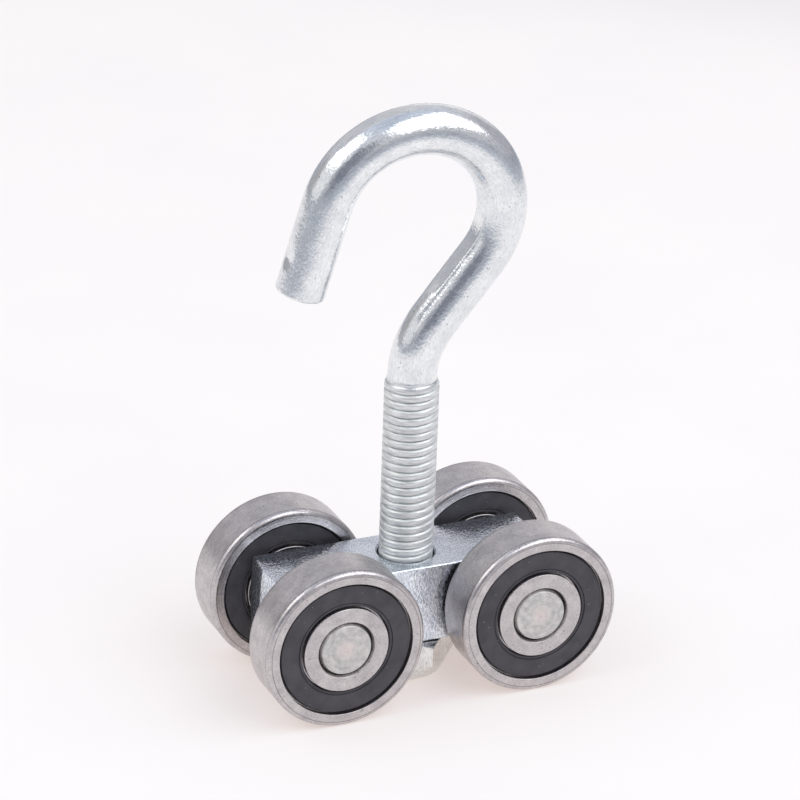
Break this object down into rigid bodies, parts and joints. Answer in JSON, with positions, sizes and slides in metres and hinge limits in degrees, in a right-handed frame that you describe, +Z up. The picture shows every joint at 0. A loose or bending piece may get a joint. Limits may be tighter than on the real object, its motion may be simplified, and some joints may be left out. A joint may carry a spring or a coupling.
{
  "type": "rail trolley hook",
  "caption": "Bent rod hook on a threaded shank, swivelling in a square-bar trolley body that rolls on sealed ball bearings; hangs meat from a C-shaped rail.",
  "frame": {"origin": "on the surface that the wheels stand on, under the hook's shank", "axes": "+X along the rail, +Y across it, +Z up towards the hook's bowl as the trolley stands on its wheels; in use it hangs the other way up"},
  "size_m": [0.0676, 0.035, 0.1093],
  "materials": {
    "hook_zinc": "bright zinc plating over rolled and bent steel rod",
    "body_zinc": "satin bluish zinc plating",
    "nut_zinc": "zinc plating",
    "axle_steel": "turned steel",
    "bearing_steel": "ground and lightly oiled bearing steel",
    "cage_steel": "pressed steel",
    "seal_rubber": "moulded nitrile rubber on a steel washer",
    "nylon": "natural nylon"
  },
  "bodies": {
    "root": {"trolley_body": "body_zinc", "axle_left": "axle_steel", "axle_right": "axle_steel", "front_left_inner_ring": "bearing_steel", "front_right_inner_ring": "bearing_steel", "back_left_inner_ring": "bearing_steel", "back_right_inner_ring": "bearing_steel"},
    "hook": {"hook": "hook_zinc", "lock_nut": "nut_zinc", "nut_insert": "nylon"},
    "front_left_wheel": {"front_left_outer_ring": "bearing_steel", "front_left_outer_seal": "seal_rubber", "front_left_inner_seal": "seal_rubber"},
    "front_left_cage": {"front_left_cage": "cage_steel", "front_left_ball_1": "bearing_steel", "front_left_ball_2": "bearing_steel", "front_left_ball_3": "bearing_steel", "front_left_ball_4": "bearing_steel", "front_left_ball_5": "bearing_steel", "front_left_ball_6": "bearing_steel", "front_left_ball_7": "bearing_steel", "front_left_ball_8": "bearing_steel"},
    "front_right_wheel": {"front_right_outer_ring": "bearing_steel", "front_right_outer_seal": "seal_rubber", "front_right_inner_seal": "seal_rubber"},
    "front_right_cage": {"front_right_cage": "cage_steel", "front_right_ball_1": "bearing_steel", "front_right_ball_2": "bearing_steel", "front_right_ball_3": "bearing_steel", "front_right_ball_4": "bearing_steel", "front_right_ball_5": "bearing_steel", "front_right_ball_6": "bearing_steel", "front_right_ball_7": "bearing_steel", "front_right_ball_8": "bearing_steel"},
    "back_left_wheel": {"back_left_outer_ring": "bearing_steel", "back_left_outer_seal": "seal_rubber", "back_left_inner_seal": "seal_rubber"},
    "back_left_cage": {"back_left_cage": "cage_steel", "back_left_ball_1": "bearing_steel", "back_left_ball_2": "bearing_steel", "back_left_ball_3": "bearing_steel", "back_left_ball_4": "bearing_steel", "back_left_ball_5": "bearing_steel", "back_left_ball_6": "bearing_steel", "back_left_ball_7": "bearing_steel", "back_left_ball_8": "bearing_steel"},
    "back_right_wheel": {"back_right_outer_ring": "bearing_steel", "back_right_outer_seal": "seal_rubber", "back_right_inner_seal": "seal_rubber"},
    "back_right_cage": {"back_right_cage": "cage_steel", "back_right_ball_1": "bearing_steel", "back_right_ball_2": "bearing_steel", "back_right_ball_3": "bearing_steel", "back_right_ball_4": "bearing_steel", "back_right_ball_5": "bearing_steel", "back_right_ball_6": "bearing_steel", "back_right_ball_7": "bearing_steel", "back_right_ball_8": "bearing_steel"}
  },
  "joints": [
    {"name": "hook_swivel", "type": "hinge", "parent": "root", "child": "hook", "pos_m": [0, 0, 0.0156], "axis": [0, 0, 1], "continuous": true},
    {"name": "front_left_wheel_spin", "type": "hinge", "parent": "root", "child": "front_left_wheel", "pos_m": [-0.0188, -0.013, 0.015], "axis": [0, 1, 0], "continuous": true},
    {"name": "front_left_cage_orbit", "type": "hinge", "parent": "root", "child": "front_left_cage", "pos_m": [-0.0188, -0.013, 0.015], "axis": [0, 1, 0], "continuous": true},
    {"name": "front_right_wheel_spin", "type": "hinge", "parent": "root", "child": "front_right_wheel", "pos_m": [0.0188, -0.013, 0.015], "axis": [0, 1, 0], "continuous": true},
    {"name": "front_right_cage_orbit", "type": "hinge", "parent": "root", "child": "front_right_cage", "pos_m": [0.0188, -0.013, 0.015], "axis": [0, 1, 0], "continuous": true},
    {"name": "back_left_wheel_spin", "type": "hinge", "parent": "root", "child": "back_left_wheel", "pos_m": [-0.0188, 0.013, 0.015], "axis": [0, 1, 0], "continuous": true},
    {"name": "back_left_cage_orbit", "type": "hinge", "parent": "root", "child": "back_left_cage", "pos_m": [-0.0188, 0.013, 0.015], "axis": [0, 1, 0], "continuous": true},
    {"name": "back_right_wheel_spin", "type": "hinge", "parent": "root", "child": "back_right_wheel", "pos_m": [0.0188, 0.013, 0.015], "axis": [0, 1, 0], "continuous": true},
    {"name": "back_right_cage_orbit", "type": "hinge", "parent": "root", "child": "back_right_cage", "pos_m": [0.0188, 0.013, 0.015], "axis": [0, 1, 0], "continuous": true}
  ],
  "couplings": [
    {"joint": "front_left_cage_orbit", "follows": "front_left_wheel_spin", "ratio": 0.61905},
    {"joint": "front_right_cage_orbit", "follows": "front_right_wheel_spin", "ratio": 0.61905},
    {"joint": "back_left_cage_orbit", "follows": "back_left_wheel_spin", "ratio": 0.61905},
    {"joint": "back_right_cage_orbit", "follows": "back_right_wheel_spin", "ratio": 0.61905}
  ]
}
